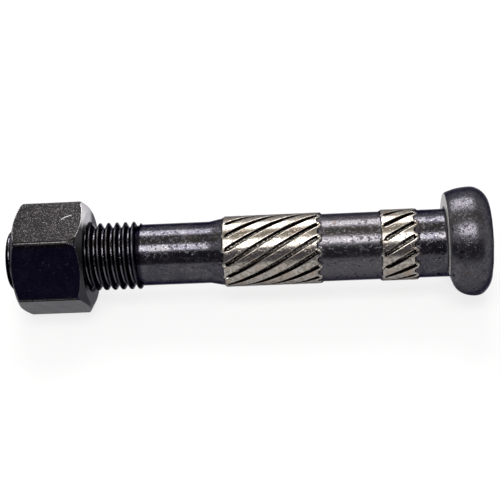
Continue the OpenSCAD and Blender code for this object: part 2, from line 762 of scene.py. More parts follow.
@dataclass(frozen=True)
class BoltSteel(Finish):
    """Oiled black oxide on the bolt, with bare steel on the worn ribs, grooves painted near black as grime
    and painted shade, and a light line on the head's relief that is partly wear and partly a painted
    highlight.

    The groups of fields are its colours, its noises, where its parts are, and its roughness and relief. A
    part's fade is counted from the size of the bolt that it goes with. Each nick has a middle and a radius.
    """

    name: str = "bolt_oxide"
    oxide: Colour = (0.049, 0.0475, 0.058, 1.0)
    pale_oxide: Layer = Layer((0.08, 0.077, 0.083, 1.0), 0.45, 0.75)
    brown: Layer = Layer((0.06, 0.042, 0.034, 1.0), 0.6, 0.76, 0.6)
    pit: Layer = Layer((0.02, 0.018, 0.023, 1.0), 0.41, 0.33)
    sparkle: Layer = Layer((0.2, 0.195, 0.195, 1.0), 0.6, 0.7)
    # Light edge colour on the head's relief: partly wear, partly a painted highlight of the rounded edge.
    worn: Layer = Layer((0.2, 0.19, 0.185, 1.0), 0.35, 0.6)
    seat: Layer = Layer((0.85, 0.84, 0.82, 1.0), 0.25, 0.5)
    # Near black in the grooves: partly grime, partly painted shade in these recesses.
    groove_grime_and_shade: Colour = (0.012, 0.01, 0.009, 1.0)
    glint: Layer = Layer((0.34, 0.32, 0.29, 1.0), 0.54, 0.6)
    dull_bare: Colour = (0.19, 0.172, 0.145, 1.0)
    bare: Layer = Layer((0.385, 0.36, 0.335, 1.0), 0.36, 0.62)
    brown_bare: Layer = Layer((0.28, 0.22, 0.185, 1.0), 0.5, 0.7, 0.7)
    thread_oxide: Colour = (0.014, 0.013, 0.02, 1.0)
    thread_crest: Colour = (0.046, 0.044, 0.05, 1.0)
    thread_root: Colour = (0.08, 0.077, 0.09, 1.0)
    rim: Colour = (0.3, 0.3, 0.33, 1.0)

    pits: Patches = Patches(0.6, 3.0, 0.65)
    blotches: Patches = Patches(2.4, 3.0, 0.6)
    specks: Patches = Patches(0.2, 2.0, 0.7)
    brown_spots: Patches = Patches(3.4, 3.0, 0.7)
    tarnish: Patches = Patches(0.6, 4.0, 0.75)
    dents: Patches = Patches(1.9, 1.0, 0.4)

    head_fade: Fade = (-0.3, 0.1)
    thread_fade: Fade = (0.5, -0.1)
    crest_fade: Fade = (-0.035, -0.01)
    root_fade: Fade = (0.07, 0.04)
    band_margin: float = 0.2
    band_soft: float = 0.1
    plain_soft: float = 0.3
    plain_paleness: float = 0.75
    head_paleness: float = 0.3
    seat_run: Run = (-0.05, 0.02)
    seat_soft: float = 0.02
    seat_fade: Fade = (-0.1, 0.1)
    groove_margin: float = 0.3
    groove_fade: Fade = (-0.16, -0.22)
    floor_fade: Fade = (0.1, 0.06)
    bare_fade: Fade = (-0.13, -0.07)
    bare_raggedness: float = 0.08
    contour_run: Run = (-0.12, -0.05)
    contour_soft: float = 0.04
    contour_sides: Fade = (0.2, 0.8)
    contour_start: Fade = (0.0, 0.1)
    nicks: tuple[tuple[Place, float], ...] = (
        ((-13.25, -3.58, 4.69), 0.25),
        ((-1.74, -0.45, 5.88), 0.3),
        ((1.88, -7.73, 5.18), 0.38),
        ((1.71, -8.22, 4.27), 0.3),
    )

    rough: float = 0.13
    rougher_head: float = 0.13
    rougher_plain: float = 0.07
    rougher_bare: float = 0.06
    rougher_groove: float = 0.3
    rougher_seat: float = 0.2
    rougher_blotch: float = 0.12
    rougher_crest: float = 0.32
    smoother_thread: float = 0.06
    pit_fade: Fade = (0.34, 0.46)
    pit_height: float = 20e-6
    grain: float = 0.3
    head_grain: float = 0.4
    dent_height: float = 20e-6

    def build(self, graph: Graph) -> None:
        """Lays the finish's nodes.

        Args:
            graph: The node tree.
        """
        bolt = BoltSurface(graph, self)
        specks = bolt.noise(self.specks)
        colour = graph.blend(bolt.on_thread, self.coat(bolt), self.thread_coat(bolt))
        colour = graph.lay(colour, self.seat, specks, bolt.on_seat)
        # A light line along the relief's edge: partly wear, partly a painted highlight.
        colour = graph.lay(colour, self.worn, specks, bolt.on_contour)
        # The grooves are painted near black, partly grime and partly painted shade, with lighter glint specks
        # on their floors.
        groove_grime_and_shade = graph.lay(self.groove_grime_and_shade, self.glint, specks, bolt.on_groove_floor)
        colour = graph.blend(bolt.in_grooves, colour, groove_grime_and_shade)
        colour = graph.blend(bolt.on_ribs, colour, self.rubbed_steel(bolt))
        for centre, size in self.nicks:
            colour = graph.blend(bolt.spot(centre, size), colour, self.pit.colour)
        graph.metal(colour, self.roughness(bolt), self.relief(bolt), self.rim)

    def coat(self, bolt: BoltSurface) -> Wire:
        """The oxide on the head and the shank.

        Args:
            bolt: The bolt's surface.

        Returns:
            The colour.
        """
        graph = bolt.graph
        everywhere = self.plain_paleness * bolt.on_plain + self.head_paleness * bolt.on_head
        pale = self.pale_oxide.cover(bolt.noise(self.blotches)).most(everywhere)
        colour = graph.blend(pale, self.oxide, self.pale_oxide.colour)
        colour = graph.lay(colour, self.brown, bolt.noise(self.brown_spots))
        colour = graph.lay(colour, self.pit, bolt.noise(self.pits))
        return graph.lay(colour, self.sparkle, bolt.noise(self.specks))

    def thread_coat(self, bolt: BoltSurface) -> Wire:
        """The oxide on the thread, worn a little on its crests and in its roots.

        Args:
            bolt: The bolt's surface.

        Returns:
            The colour.
        """
        roots = bolt.radius.ease_at(mm(Thread.root_r), self.root_fade)
        colour = bolt.graph.blend(bolt.on_crests, self.thread_oxide, self.thread_crest)
        return bolt.graph.blend(roots, colour, self.thread_root)

    def rubbed_steel(self, bolt: BoltSurface) -> Wire:
        """The bare steel on top of the ribs.

        Args:
            bolt: The bolt's surface.

        Returns:
            The colour.
        """
        colour = bolt.graph.lay(self.dull_bare, self.bare, bolt.noise(self.tarnish))
        return bolt.graph.lay(colour, self.brown_bare, bolt.noise(self.blotches))

    def roughness(self, bolt: BoltSurface) -> Wire:
        """How rough each part of the bolt is.

        Args:
            bolt: The bolt's surface.

        Returns:
            The roughness.
        """
        rough = self.rough + self.rougher_head * bolt.on_head + self.rougher_plain * bolt.on_plain
        rough += self.rougher_bare * bolt.on_ribs + self.rougher_groove * bolt.in_grooves
        rough += self.rougher_seat * bolt.on_seat
        blotches = self.rougher_blotch * (bolt.noise(self.blotches) - NOISE_MEAN)
        thread = self.rougher_crest * bolt.on_crests - self.smoother_thread
        return rough + blotches * (1.0 - bolt.on_thread) + thread * bolt.on_thread

    def relief(self, bolt: BoltSurface) -> Wire:
        """The fine pits and grain over shallow dents.

        Args:
            bolt: The bolt's surface.

        Returns:
            The normal.
        """
        grain = bolt.noise(self.specks) * (self.grain + self.head_grain * bolt.on_head)
        pits = bolt.noise(self.pits).ease(*self.pit_fade)
        fine = bolt.graph.bump(pits + grain, self.pit_height)
        return bolt.graph.bump(bolt.noise(self.dents), self.dent_height, fine)


@dataclass(frozen=True)
class NutSteel(Finish):
    """A grainy black oxide on the nut, with light edge lines that are partly wear and partly painted
    highlight, a painted sheen on the upper back of its inner turned end, and painted shade on its upper flat
    and corner ridges.

    The groups of fields are its colours, its noises, where its parts are, and its roughness and relief. A
    part's fade or run is counted from the size of the nut that it goes with, and the scratch's is its own.
    """

    name: str = "nut_oxide"
    oxide: Colour = (0.0122, 0.0095, 0.029, 1.0)
    # A darker oxide painted on the upper flat and the corner ridges: painted shade.
    painted_shade_oxide: Colour = (0.0064, 0.006, 0.0066, 1.0)
    pale_oxide: Layer = Layer((0.06, 0.0575, 0.0585, 1.0), 0.54, 0.66)
    brown: Layer = Layer((0.02, 0.013, 0.017, 1.0), 0.55, 0.75, 0.5)
    dust: Layer = Layer((0.06, 0.06, 0.085, 1.0), 0.67, 0.76, 0.6)
    # Light colour for the edge lines and the scratch: wear, and on the edges partly a painted highlight.
    worn: Layer = Layer((0.22, 0.215, 0.21, 1.0), 0.38, 0.58)
    turned: Colour = (0.042, 0.041, 0.044, 1.0)
    # A pale colour painted on the upper back of the inner turned end: a painted reflection of the lamps.
    painted_sheen: Colour = (0.75, 0.73, 0.75, 1.0)
    thread_oxide: Colour = (0.02, 0.02, 0.024, 1.0)
    rim: Colour = (0.75, 0.75, 0.74, 1.0)

    specks: Patches = Patches(0.23, 2.0, 0.75)
    blotches: Patches = Patches(2.2, 3.0, 0.65)
    dust_spots: Patches = Patches(0.75, 1.0, 0.5)

    upper_fade: Fade = (-1.3, -0.3)
    lower_grain: float = 0.3
    blotchy_grain: float = 0.25
    flat_fade: Fade = (-0.1, -0.02)
    # How far the painted shade reaches in from the corner ridges.
    ridge_shade_fade: Fade = (-0.006, -0.005)
    # Where the light ridge line sits: partly wear, partly a painted highlight.
    line_fade: Fade = (-0.0014, -0.0004)
    line_share: float = 0.55
    arc_run: Run = (0.03, 0.08)
    arc_soft: float = 0.04
    chamfer_fade: Fade = (0.06, 0.02)
    face_fade: Fade = (-0.04, -0.02)
    # Which way the painted sheen faces, and how it fades in.
    sheen_side: Place = (0.0, 0.42, 0.91)
    sheen_fade: Fade = (0.8, 0.98)
    thread_fade: Fade = (0.25, 0.15)
    scratch_start: Point = (-65.87, 0.51)
    scratch_turn: float = 30.2
    scratch_length: float = 1.83
    scratch_curve: float = 0.165
    scratch_lead: float = 0.1
    scratch_taper: float = 0.2
    scratch_width: Fade = (0.1, 0.03)
    scratch_flat: Fade = (-0.1, -0.03)

    rough: float = 0.3
    rougher_blotch: float = 0.2
    rougher_speck: float = 0.12
    grain_height: float = 20e-6

    def build(self, graph: Graph) -> None:
        """Lays the finish's nodes.

        Args:
            graph: The node tree.
        """
        nut = Surface(graph)
        specks = nut.noise(self.specks)
        blotches = nut.noise(self.blotches)
        outer = self.inside_chamfer(nut, mm(Nut.outer_face_r), nut.along - mm(NUT_LOW.x))
        inner = self.inside_chamfer(nut, mm(Nut.face_r), mm(NUT_HIGH.x) - nut.along)
        to_edge = self.outwards(nut, Nut.edge_turns) - mm(Nut.corner_r)
        # The turned corner ridges get the darker oxide: painted shade that dims the front lamp's highlight
        # there.
        colour = graph.blend(to_edge.ease(*self.ridge_shade_fade), self.coat(nut), self.painted_shade_oxide)

        face = nut.along.ease_at(mm(NUT_HIGH.x), self.face_fade)
        # The upper back of the inner chamfer and face is painted pale: a painted reflection, not wear.
        side = graph.measure("DOT_PRODUCT", graph.vector("NORMALIZE", nut.across), self.sheen_side)
        turned = graph.blend(side.ease(*self.sheen_fade), self.turned, self.painted_sheen)
        colour = graph.blend(inner.ease(*self.chamfer_fade).most(face), colour, turned)

        to_flat = self.outwards(nut, Nut.flat_turns) - mm(NUT_HIGH.z)
        # Light lines on the chamfer arcs and the ridge centres: partly wear, partly painted highlights of
        # these edges.
        arcs = outer.least(inner).band(*self.arc_run, self.arc_soft) * to_flat.ease(*self.flat_fade)
        edges = arcs.most(to_edge.ease(*self.line_fade) * self.line_share) * self.worn.cover(specks)
        colour = graph.blend(edges.most(self.scratch(nut)), colour, self.worn.colour)
        bore = nut.radius.ease_at(mm(Thread.crest_r), self.thread_fade)
        colour = graph.blend(bore, colour, self.thread_oxide)

        rough = self.rough + self.rougher_blotch * (blotches - NOISE_MEAN)
        rough += self.rougher_speck * (specks - NOISE_MEAN)
        graph.metal(colour, rough, graph.bump(specks + blotches, self.grain_height), self.rim)

    def coat(self, nut: Surface) -> Wire:
        """The oxide, browner on the upper flat and dusty on the others; the upper flat is also painted darker
        as painted shade, with more pale grain on it as painted glints.

        Args:
            nut: The nut's surface.

        Returns:
            The colour.
        """
        graph = nut.graph
        upper = nut.towards(UP).ease_at(mm(NUT_HIGH.z), self.upper_fade)
        blotches = nut.noise(self.blotches)
        grains = nut.noise(self.specks) + self.blotchy_grain * (blotches - NOISE_MEAN)
        # The upper flat gets the darker oxide as painted shade, and more pale grain as painted glints.
        colour = graph.blend(upper, self.oxide, self.painted_shade_oxide)
        grainy = self.lower_grain + (1.0 - self.lower_grain) * upper
        colour = graph.lay(colour, self.pale_oxide, grains, grainy)
        colour = graph.lay(colour, self.brown, blotches, upper)
        return graph.lay(colour, self.dust, nut.noise(self.dust_spots), 1.0 - upper)

    def inside_chamfer(self, nut: Surface, face_r: float, depth: Wire) -> Wire:
        """How far a place is inside the cone of a chamfer.

        Args:
            nut: The nut's surface.
            face_r: The radius of the face that the chamfer leads to.
            depth: How deep the place is under that face.

        Returns:
            The distance, measured square to the axis.
        """
        return face_r - nut.radius + depth * (1.0 / math.tan(math.radians(Nut.chamfer)))

    def outwards(self, nut: Surface, turns: Sequence[float]) -> Wire:
        """How far out a place is, measured towards the nearest of some sides.

        Args:
            nut: The nut's surface.
            turns: The turn of one side of each opposite pair, up from the front.

        Returns:
            The distance from the axis.
        """
        return reduce(Wire.most, (abs(nut.towards(around(turn))) for turn in turns))

    def scratch(self, nut: Surface) -> Wire:
        """The curved scratch on the nut's upper flat.

        Args:
            nut: The nut's surface.

        Returns:
            1 in the scratch and 0 elsewhere.
        """
        turn = math.radians(self.scratch_turn)
        start = Vector((*self.scratch_start, 0.0))
        forth = Vector((math.cos(turn), math.sin(turn), 0.0))
        aside = Vector((-math.sin(turn), math.cos(turn), 0.0))
        run = nut.towards(tuple(forth)) - start.dot(forth)
        bend = run * (self.scratch_length - run) * self.scratch_curve
        off = nut.towards(tuple(aside)) - start.dot(aside) - bend
        flat = nut.towards(UP).ease_at(mm(NUT_HIGH.z), self.scratch_flat)
        stretch = run.band(self.scratch_lead, self.scratch_length, self.scratch_taper)
        return stretch * abs(off).ease(*self.scratch_width) * flat


@dataclass(frozen=True)
class FloorPaint(Finish):
    """The pale floor, which looks white to the camera and in reflections but keeps a soft shadow."""

    name: str = "pale_floor"
    colour: Colour = (0.9, 0.9, 0.9, 1.0)
    white_share: float = 0.8

    def build(self, graph: Graph) -> None:
        """Lays the finish's nodes.

        Args:
            graph: The node tree.
        """
        paint = graph.node("ShaderNodeBsdfDiffuse", inputs={"Color": self.colour})
        share = graph.seen() * self.white_share
        graph.end(graph.node("ShaderNodeMixShader", inputs={0: share, 1: paint, 2: graph.glow(WHITE)}))


@dataclass(frozen=True)
class CardCloth(Finish):
    """The plain cloth of a card that the object reflects."""

    name: str
    colour: Colour

    def build(self, graph: Graph) -> None:
        """Lays the finish's nodes."""
        graph.end(graph.glow(self.colour))


@dataclass
class Thread:
    """A standard right-hand thread, whose crests and roots bolt and nut share.

    Attributes:
        pitch: Distance from crest to crest.
        crest_r: Radius of the crests.
        root_r: Radius of the roots.
        flank_angle: How far the flanks lean from square to the axis.
        crest_half: Half the width of a crest's flat.
        edge: Bevel between a flat and a flank.
        crest_x: Where a crest passes the plane in which the outline is drawn.
        columns: How many faces go round.
    """

    pitch: float = 0.0015
    crest_r: float = 0.00595
    root_r: float = 0.00508
    flank_angle: float = 30.0
    crest_half: float = 0.0001
    edge: float = 0.00004
    crest_x: float = -0.05439
    columns: int = 96

    def outline(self, crest_r: float, root_r: float) -> list[Point]:
        """One pitch of the thread's outline, from root to root.

        Args:
            crest_r: The radius of the crest.
            root_r: The radius of the root.

        Returns:
            The outline, with its crest at place 0.
        """
        slope = math.tan(math.radians(self.flank_angle))
        flank = self.crest_half + self.edge + (crest_r - self.edge - root_r) * slope
        right = [
            (self.crest_half, crest_r),
            (self.crest_half + self.edge, crest_r - self.edge),
            (flank - self.edge, root_r + self.edge),
            (flank + self.edge, root_r),
            (self.pitch / 2, root_r - self.edge / 2),
        ]
        left = [(-x, r) for x, r in reversed(right)]
        return left + right

    def bar(self, name: str, low: float, high: float, crest_r: float, root_r: float) -> bpy.types.Object:
        """A threaded bar with flat ends, wound at least a turn too long at both and then cut.

        Args:
            name: The new piece's name.
            low: Where the bar starts on the axis.
            high: Where it ends.
            crest_r: The radius of its crests.
            root_r: The radius of its roots.

        Returns:
            The bar, a closed solid.
        """
        before = math.ceil((self.crest_x - low) / self.pitch) + 1
        start = self.crest_x - before * self.pitch
        turns = math.ceil((high - start) / self.pitch) + 2
        points = [(start + x, r) for x, r in self.outline(crest_r, root_r)]
        bar = Workbench.draw(name, points)
        Workbench.modify(
            bar, "SCREW", axis="X", angle=math.tau, steps=self.columns, render_steps=self.columns,
            screw_offset=self.pitch, iterations=turns,
        )
        Workbench.close(bar)
        with Workbench.editing(bar):
            for place, outwards in ((low, -1.0), (high, 1.0)):
                bpy.ops.mesh.select_all(action="SELECT")
                bpy.ops.mesh.bisect(
                    plane_co=(place, 0.0, 0.0), plane_no=(outwards, 0.0, 0.0), use_fill=True, clear_outer=True
                )
        Workbench.close(bar)
        return bar


@dataclass(frozen=True)
class BandEnd:
    """How the ribs and grooves of a band end on one side.

    Attributes:
        lip: Width of the raised metal round a groove's end.
        notch: How far the metal between two lips stands back from the band's end.
        past: How far the lips stand out past the band's end.
        point: Length over which a groove narrows to its end.
    """

    lip: float
    notch: float
    past: float
    point: float


@dataclass(frozen=True)
class RibBand:
    """One band of ribs, between two places on the axis."""

    low: float
    high: float

    def past_end(self, place: float) -> float:
        """How far a place on the axis is outside the band, below zero inside it."""
        return max(self.low - place, place - self.high)


@dataclass
class Bolt:
    """The bolt: head, shank with two bands of helical ribs, waist and thread.

    Attributes:
        thread: Its thread.
        head_face_r: Radius of the head's seating face.
        head_bevel: Bevel at the edge of that face.
        head_round_r: Radius of the head's top edge.
        fillet_r: Radius between the shank and the head.
        relief_r: Radius of the round from the seating face to the head's flat.
        relief_step: Where that round starts, over the seating face.
        relief_offset: Distance of the round's centre from the axis.
        relief_turn: The flat's direction, down from the front.
        shank_r: Radius of the plain shank.
        waist_r: Radius of the waist.
        waist_x: Where the waist ends and the cone starts.
        taper_x: Where the cone ends.
        thread_x: Where the thread ends and the waist starts.
        thread_core_r: Radius of the blank's hidden end inside the thread.
        thread_core_runouts: How far that end reaches into the thread, in run-outs.
        thread_runout: Length over which the blank rises out of the thread.
        thread_root_gap: How far under the thread's root it starts to.
        thread_overlap: How far the threaded end reaches into the waist.
        tip_bevel: Bevel at the tip.
        bands: The two bands of ribs, the one by the thread first.
        thread_side: How ribs and grooves end on the thread's side.
        head_side: How they end on the head's side.
        rib_count: How many ribs go round.
        rib_height: How far the ribs stand out of the shank.
        rib_soft: Half the width over which their metal rises at an end.
        rib_lead: Length in which a rib would go once round.
        rib_phase: Turn of all the ribs round the axis.
        groove_depth: Depth of the grooves under the ribs' tops.
        groove_flat: Half the width of a groove's floor.
        groove_reach: Half the width of a groove's mouth.
        wound_past: How far past the bands the blank is wound.
        dent_depth: Depth of the head's deepest dents.
        dent_size: Size of the dents.
        dent_start: Length over which they set in behind the seating face.
        columns_per_rib: How many faces each rib has round the bolt.
        band_row: Longest faces along a band.
        plain_row: Longest faces along the plain shank.
        head_row: Longest faces on the head's top.
        fillet_rows: Faces across the fillet.
        rim_rows: Faces across the head's rim.
        round_rows: Faces across the head's top edge.
        relief_rows: Faces across the relief's round.
        crease: Angle from which an edge looks sharp.
    """

    thread: Thread

    head_face_r: float = 0.0088
    head_bevel: float = 0.0003
    head_round_r: float = 0.0033

    fillet_r: float = 0.0005
    relief_r: float = 0.0046
    relief_step: float = 0.00025
    relief_offset: float = 0.004
    relief_turn: float = 58.0
    shank_r: float = 0.0059
    waist_r: float = 0.0054
    waist_x: float = -0.0409
    taper_x: float = -0.0384

    thread_x: float = -0.0528
    thread_core_r: float = 0.0048
    thread_core_runouts: int = 3
    thread_runout: float = 0.0016
    thread_root_gap: float = 0.00006
    thread_overlap: float = 0.0001
    tip_bevel: float = 0.0009

    bands: tuple[RibBand, RibBand] = (RibBand(-0.0384, -0.0216), RibBand(-0.0112, -0.0051))
    thread_side: BandEnd = BandEnd(lip=0.00018, notch=0.00015, past=0.0, point=0.001)
    head_side: BandEnd = BandEnd(lip=0.0004, notch=0.0004, past=0.00028, point=0.0003)
    rib_count: int = 15
    rib_height: float = 0.0003
    rib_soft: float = 0.00014
    rib_lead: float = 0.065
    rib_phase: float = 21.1
    groove_depth: float = 0.0007
    groove_flat: float = 0.0002
    groove_reach: float = 0.00042
    wound_past: float = 0.0012

    dent_depth: float = 0.00008
    dent_size: float = 0.0019
    dent_start: float = 0.0004

    columns_per_rib: int = 28
    band_row: float = 0.00025
    plain_row: float = 0.0008
    head_row: float = 0.0005
    fillet_rows: int = 5
    rim_rows: int = 10
    round_rows: int = 14
    relief_rows: int = 48
    crease: float = 34.0

    @property
    def head_r(self) -> float:
        """The head's radius, from the frame."""
        return BOLT_HIGH.z

    @property
    def head_h(self) -> float:
        """The head's thickness, from the frame."""
        return BOLT_HIGH.x

    @property
    def columns(self) -> int:
        """How many faces go round the bolt."""
        return self.rib_count * self.columns_per_rib

    def outline(self) -> list[Point]:
        """The bolt's outline from inside the thread to the top of the head.

        Returns:
            The points, from the axis and back to it.
        """
        inside = self.thread_x - self.thread_core_runouts * self.thread_runout
        points = [(inside, 0.0), (inside, self.thread_core_r)]
        points += [
            (self.thread_x - self.thread_runout, self.thread.root_r - self.thread_root_gap),
            (self.thread_x, self.waist_r),
            (self.waist_x, self.waist_r),
        ]
        last = self.bands[0].low - self.wound_past
        points += [(last, self.shank_radius(last))]
        for band in self.bands:
            places = rows(last, band.low - self.wound_past, self.plain_row)
            last = band.high + self.wound_past
            places += rows(band.low - self.wound_past, last, self.band_row)
            points += [(x, self.shank_radius(x)) for x in places]
        fillet_centre = (-self.fillet_r, self.shank_r + self.fillet_r)
        points += arc(fillet_centre, self.fillet_r, -90.0, 0.0, self.fillet_rows)
        return points + self.head_outline()

    def head_outline(self) -> list[Point]:
        """The outline of the head, with a barrel-shaped rim and a well rounded top edge.

        Returns:
            The points, from the seating face to the axis.
        """
        wide_x = self.head_h - self.head_round_r
        rise = wide_x - self.head_bevel
        spread = self.head_r - self.head_face_r
        rim_r = (rise**2 + spread**2) / (2 * spread)
        start = math.degrees(math.acos(-rise / rim_r))
        round_centre = (wide_x, self.head_r - self.head_round_r)
        points = [(0.0, self.head_face_r - self.head_bevel)]
        points += arc((wide_x, self.head_r - rim_r), rim_r, start, 90.0, self.rim_rows)
        points += arc(round_centre, self.head_round_r, 90.0, 0.0, self.round_rows)[1:]
        inner = rows(-points[-1][1], 0.0, self.head_row)
        return points + [(self.head_h, -r) for r in inner]

    def shank_radius(self, place: float) -> float:
        """The radius of the plain shank and of the cone below it at a place on the axis."""
        share = (place - self.waist_x) / (self.taper_x - self.waist_x)
        return self.waist_r + (self.shank_r - self.waist_r) * min(1.0, max(0.0, share))

    def nearest_band(self, place: Vector) -> RibBand:
        """The band that is nearest to a vertex."""
        return min(self.bands, key=lambda band: band.past_end(place.x))

    def off_groove(self, place: Vector) -> tuple[float, float, float]:
        """Where a vertex lies beside its nearest groove.

        Args:
            place: The vertex's place, before the ribs are wound.

        Returns:
            Its distance from the groove's middle line, and how far it is past the line's two ends.
        """
        pitch = math.tau / self.rib_count
        off = ((math.atan2(place.z, place.y) + pitch / 2) % pitch - pitch / 2) * self.shank_r
        slant = math.atan(math.tau * self.shank_r / self.rib_lead)
        band = self.nearest_band(place)
        low = band.low + self.groove_reach + self.thread_side.lip - self.thread_side.past
        high = band.high - self.groove_reach - self.head_side.lip + self.head_side.past
        across = off * math.cos(slant)
        past_low = (low - place.x) / math.cos(slant) + off * math.sin(slant)
        past_high = (place.x - high) / math.cos(slant) - off * math.sin(slant)
        return abs(across), past_low, past_high

    def rib_share(self, place: Vector) -> float:
        """How much of its full height the raised metal has at a vertex.

        Args:
            place: The vertex's place, before the ribs are wound.

        Returns:
            The share, from 0 to 1.
        """
        across, past_low, past_high = self.off_groove(place)
        band = self.nearest_band(place)
        outside = max(band.low + self.thread_side.notch - place.x, place.x - band.high + self.head_side.notch)
        side = self.thread_side if past_low > past_high else self.head_side
        round_end = math.hypot(across, max(0.0, past_low, past_high)) - self.groove_reach - side.lip
        return 1.0 - smooth_step(-self.rib_soft, self.rib_soft, min(outside, round_end))

    def groove_share(self, place: Vector) -> float:
        """How much of its full depth the groove has at a vertex.

        Args:
            place: The vertex's place, before the ribs are wound.

        Returns:
            The share, from 0 to 1.
        """
        across, past_low, past_high = self.off_groove(place)
        opened = smooth_step(0.0, self.thread_side.point, self.groove_reach - past_low)
        opened *= smooth_step(0.0, self.head_side.point, self.groove_reach - past_high)
        away = math.hypot(across, max(0.0, past_low, past_high)) + (1.0 - opened) * self.groove_reach
        return 1.0 - smooth_step(self.groove_flat, self.groove_reach, away)

    def dent_share(self, place: Vector) -> float:
        """How deep the forged head is dented at a vertex, from 0 to 1."""
        on_head = smooth_step(0.0, self.dent_start, place.x)
        return on_head * (1.0 + noise.noise(place / self.dent_size)) / 2

    def press_ribs(self, blank: bpy.types.Object) -> None:
        """Presses straight ribs into the blank and winds them into a left-hand helix.

        Args:
            blank: The turned bolt, without its thread.
        """
        Workbench.raise_by(blank, "rib", self.rib_height, self.rib_share)
        Workbench.raise_by(blank, "groove", -self.groove_depth, self.groove_share)
        low = min(v.co.x for v in blank.data.vertices)
        wound_low = self.bands[0].low - self.wound_past
        wound_high = self.bands[1].high + self.wound_past
        limits = ((wound_low - low) / (self.head_h - low), (wound_high - low) / (self.head_h - low))
        angle = -math.tau * (wound_high - wound_low) / self.rib_lead
        Workbench.modify(
            blank, "SIMPLE_DEFORM", deform_method="TWIST", deform_axis="X", angle=angle, limits=limits
        )
        Workbench.place(blank, Vector((self.rib_phase, 0.0, 0.0)), Vector())

    def relief_tool(self) -> bpy.types.Object:
        """The solid that cuts the head's flat and the round that leads to it, but spares the shank.

        Returns:
            The solid.
        """
        reach = 2 * self.head_r
        before = self.fillet_r + MERGE_GAP
        centre = (self.relief_step + self.relief_r, -self.relief_offset)
        top = self.head_h + SLACK
        flat = -self.relief_offset - self.relief_r
        points = [(-before, -reach), (-before, -self.relief_offset)]
        points += arc(centre, self.relief_r, 180.0, 270.0, self.relief_rows)
        points += [(top, flat), (top, -reach)]
        tool = Workbench.prism("relief", points, 2 * reach)
        shank = [(-reach, 0.0), (-reach, self.shank_r), (reach, self.shank_r), (reach, 0.0)]
        Workbench.combine(tool, Workbench.lathe("shank_guard", shank, self.columns), Cut.REMOVE)
        Workbench.place(tool, Vector((self.relief_turn, 0.0, 0.0)), Vector())
        return tool

    def threaded_end(self) -> bpy.types.Object:
        """The threaded end, with its tip bevelled and its last turn fading out.

        Returns:
            The solid.
        """
        tip = BOLT_LOW.x
        root = self.thread.root_r
        crest = self.thread.crest_r
        pitch = self.thread.pitch
        end = self.thread.bar("threaded_end", tip - pitch, self.thread_x + pitch, crest, root)
        wide = crest + self.tip_bevel
        limit = [
            (tip, 0.0),
            (tip, crest - self.tip_bevel),
            (tip + 2 * self.tip_bevel, wide),
            (self.thread_x - (wide - self.waist_r) + self.thread_overlap, wide),
            (self.thread_x + self.thread_overlap, self.waist_r - HAIR),
            (self.thread_x + self.thread_overlap, 0.0),
        ]
        tool = Workbench.lathe("thread_limit", limit, self.thread.columns * 2)
        Workbench.combine(end, tool, Cut.KEEP_INSIDE)
        return end

    def build(self) -> bpy.types.Object:
        """Builds the bolt as one closed mesh.

        Returns:
            The bolt.
        """
        bolt = Workbench.lathe("rod_bolt", self.outline(), self.columns)
        Workbench.raise_by(bolt, "dents", -self.dent_depth, self.dent_share)
        self.press_ribs(bolt)
        Workbench.combine(bolt, self.relief_tool(), Cut.REMOVE)
        Workbench.combine(bolt, self.threaded_end(), Cut.ADD)
        Workbench.complete(bolt, self.crease)
        return bolt

    def dress(self, bolt: bpy.types.Object) -> None:
        """Finishes the bolt and fixes it to its body.

        Args:
            bolt: The built bolt.
        """
        BoltSteel().dress(bolt)
        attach(bolt, "bolt_body")
        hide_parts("bolt")


